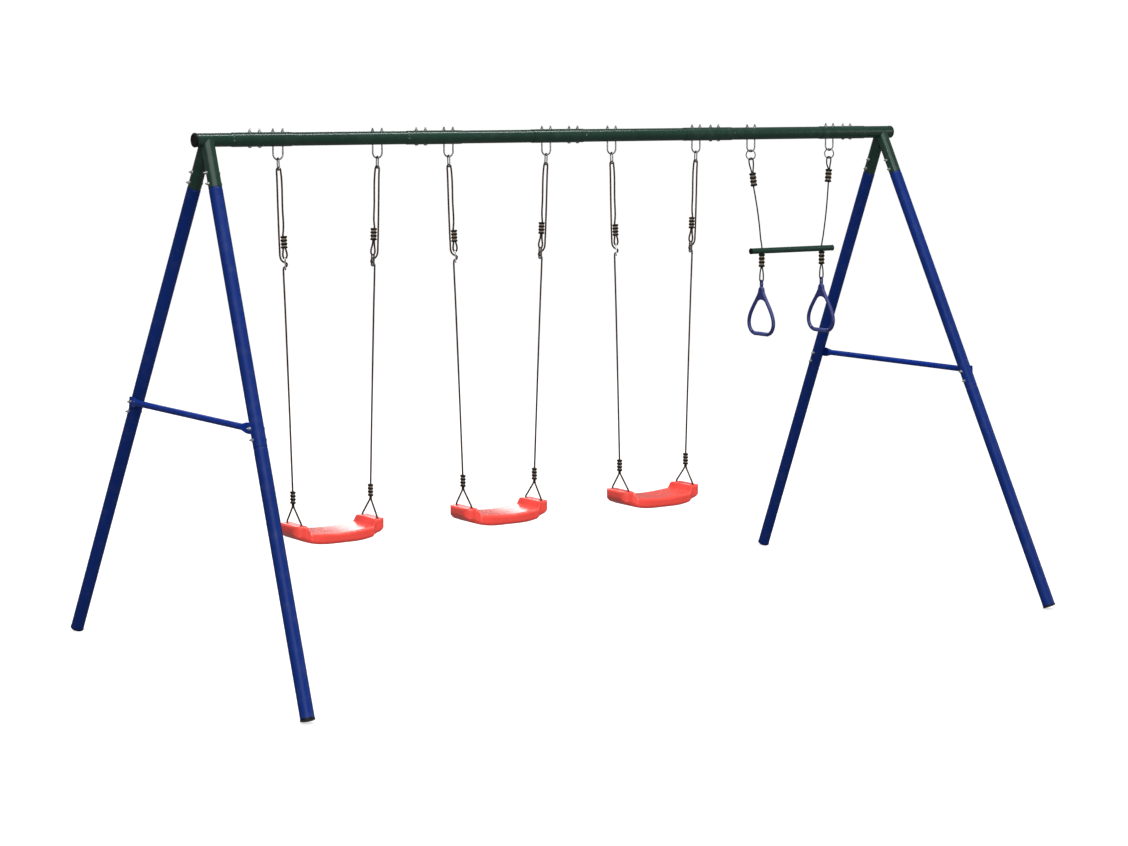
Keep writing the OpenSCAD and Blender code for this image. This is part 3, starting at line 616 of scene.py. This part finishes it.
def round_seat(mesh, middle):
    """Wide rounding under the seat and at its ends, a smaller one along its top edges."""
    co = np.zeros(len(mesh.vertices) * 3, np.float32)
    mesh.vertices.foreach_get("co", co)
    co = co.reshape(-1, 3).astype(float)
    x, y, z = co[:, 0] - middle, co[:, 1], co[:, 2]
    out = np.abs(x)
    low = SEAT_LOW + SEAT_LIFT * (np.maximum(0, out - SEAT_FLAT) / (SEAT_HALF - SEAT_FLAT)) ** 2.4
    sit = SEAT_MID + SIT_RISE * np.minimum(1.0, out / EAR_IN) ** 1.8
    drawn = np.clip((out - DRAW_IN[0]) / (DRAW_IN[1] - DRAW_IN[0]), 0, 1)
    drawn = drawn * drawn * (3 - 2 * drawn)
    bowed = SEAT_DEEP - SEAT_BOW * np.minimum(1.0, out / DRAW_IN[0]) ** 2
    deep = bowed + (EAR_HALF - bowed) * drawn
    # from below: the end, the side and the underside are a box's three faces
    corner = np.stack([out, np.abs(y), -z], 1)
    limits = np.stack([np.full_like(x, SEAT_HALF), deep, -low], 1)
    corner = pulled_in_each(corner, limits, EDGE_R[0] + (EDGE_R[1] - EDGE_R[0]) * drawn)
    # from above: the raised ends, then the edges of the part one sits on
    top = np.stack([corner[:, 0], corner[:, 1], -corner[:, 2]], 1)
    for part, reach, height in ((out > EAR_OUT, SEAT_HALF, np.full_like(x, SEAT_TOP)),
                                (out < EAR_IN, 1.0, sit)):
        limits = np.stack([np.full_like(x, reach), deep, height], 1)
        top[part] = pulled_in_each(top[part], limits[part], np.full(part.sum(), TOP_EDGE_R))
    moved = np.stack([top[:, 0] * np.sign(x) + middle, top[:, 1] * np.sign(y), top[:, 2]], 1)
    mesh.vertices.foreach_set("co", moved.astype(np.float32).ravel())
    mesh.update()


def build_seats():
    """One moulding, hung three times."""
    mesh = softened("swing_2_seat", 0.002, 3, [RED])
    middle = sum(HANGERS[1]) / 2
    round_seat(mesh, middle)
    for n in range(3):
        piece = add(f"swing_{n + 1}_moulded_seat", mesh)
        piece.location.x = sum(HANGERS[n]) / 2 - middle
        settle(piece, f"swing_{n + 1}_seat")


for n in range(3):
    build_swing(n)
    build_slings(n)
build_seats()
build_braces()


# ---------- trapeze ----------

TRAPEZE_X = 1.110
BAR_Z = 1.442
BAR_HALF = 0.161
CORD_TOP = {-1: Vector((0.886, 0, 1.8245)), 1: Vector((1.305, 0, 1.8245))}
GRIP_DOWN = {-1: 0.089, 1: 0.079}
GRIP_OFF = {-1: 0.0, 1: 0.0045}
BOW = {-1: 0.004, 1: 0.006}
BIG_CLAMP = 0.055
EYE_W = 0.011
EYE_LEGS = (0.018, 0.030)
EYE_IN = 0.0015
HOLE_REACH = 0.016
NIP = 0.0032
RING_PIVOT_Z = 1.3144
GRIP_DEPTH = 0.205
GRIP_HALF = 0.044
DOWN_CLAMP_Z = BAR_Z - 0.0122 - BIG_CLAMP / 2


def bar_hole(side):
    return Vector((TRAPEZE_X + side * BAR_HALF, 0, BAR_Z))


def cord_frame(side):
    down = (bar_hole(side) - CORD_TOP[side]).normalized()
    return down, Vector((-down.z, 0, down.x))


def cord_at(side, down, off):
    line, right = cord_frame(side)
    return CORD_TOP[side] + down * line + off * right


def trapeze_route(side):
    top, end = GRIP_DOWN[side] - BIG_CLAMP / 2, GRIP_DOWN[side] + BIG_CLAMP / 2 - 0.001
    out = GRIP_OFF[side] + side * NIP
    span = (bar_hole(side) - CORD_TOP[side]).length - 0.020
    nipped = GRIP_OFF[side] - side * NIP
    route = [cord_at(side, GRIP_DOWN[side] - 0.004, nipped), cord_at(side, top, nipped),
             cord_at(side, EYE_LEGS[1], side * (EYE_IN - EYE_W)), cord_at(side, EYE_LEGS[0], -side * EYE_W)]
    route += [cord_at(side, EYE_W - EYE_W * math.sin(a), -side * EYE_W * math.cos(a)) for a in HALF_TURN]
    route += [cord_at(side, EYE_LEGS[0], side * EYE_W), cord_at(side, EYE_LEGS[1], side * (EYE_W - EYE_IN)),
              cord_at(side, top, out), cord_at(side, end, out)]
    route += [cord_at(side, end + (span - end) * k / 8, BOW[side] * math.sin(math.pi * k / 8)
                      + out * (1 - k / 8) ** 2) for k in range(1, 8)]
    reach = Vector((0, 0, HOLE_REACH))
    return route + [bar_hole(side) + reach, bar_hole(side) - reach]


def loop_route(side):
    low = DOWN_CLAMP_Z - BIG_CLAMP / 2
    width, bend = 0.009, RING_PIVOT_Z + 0.0086
    leg = [(NIP, low + 0.022), (NIP, low - 0.001), (width - 0.0015, low - 0.020), (width, low - 0.036)]
    arc = [(width * math.cos(a), bend - width * math.sin(a)) for a in HALF_TURN]
    x = bar_hole(side).x
    return [(x + u, 0, z) for u, z in leg + arc + [(-u, z) for u, z in leg[::-1]]]


def build_trapeze():
    cords = join_parts([round_cord(trapeze_route(side), CORD_D, (0, 1, 0)) for side in (-1, 1)])
    settle(new_piece("trapeze_braided_cords", cords[0], cords[1], [CORD], cords[2]), "trapeze_ropes")
    loops = join_parts([round_cord(loop_route(side), CORD_D, (0, 1, 0), 0.003) for side in (-1, 1)])
    settle(new_piece("ring_braided_loops", loops[0], loops[1], [CORD], loops[2]), "ring_loops")
    upper, lower = [], []
    for side in (-1, 1):
        down, right = cord_frame(side)
        turn = Matrix((right, right.cross(down), -down)).transposed().to_4x4()
        upper.append(Matrix.Translation(cord_at(side, GRIP_DOWN[side], GRIP_OFF[side])) @ turn)
        lower.append(Matrix.Translation((bar_hole(side).x, 0, DOWN_CLAMP_Z)))
    clamps("trapeze_ribbed_upper_clamps", "trapeze_upper_clamps", upper, BIG_CLAMP, 0.030, 0.024)
    clamps("trapeze_ribbed_lower_clamps", "trapeze_lower_clamps", lower, BIG_CLAMP, 0.028, 0.022)


def build_rings():
    """One moulding with a paler hand grip, hung twice."""
    mesh = softened("gym_ring_left", 0.0012, 2, [RING, GRIP])
    for face in mesh.polygons:
        if face.center.z < RING_PIVOT_Z - GRIP_DEPTH and abs(face.center.y) < GRIP_HALF:
            face.material_index = 1
    for side, word in ((-1, "left"), (1, "right")):
        piece = add(f"gym_ring_{word}_moulding", mesh)
        piece.location.x = 0.0 if side < 0 else 2 * BAR_HALF
        settle(piece, f"gym_ring_{word}")


build_trapeze()
build_rings()
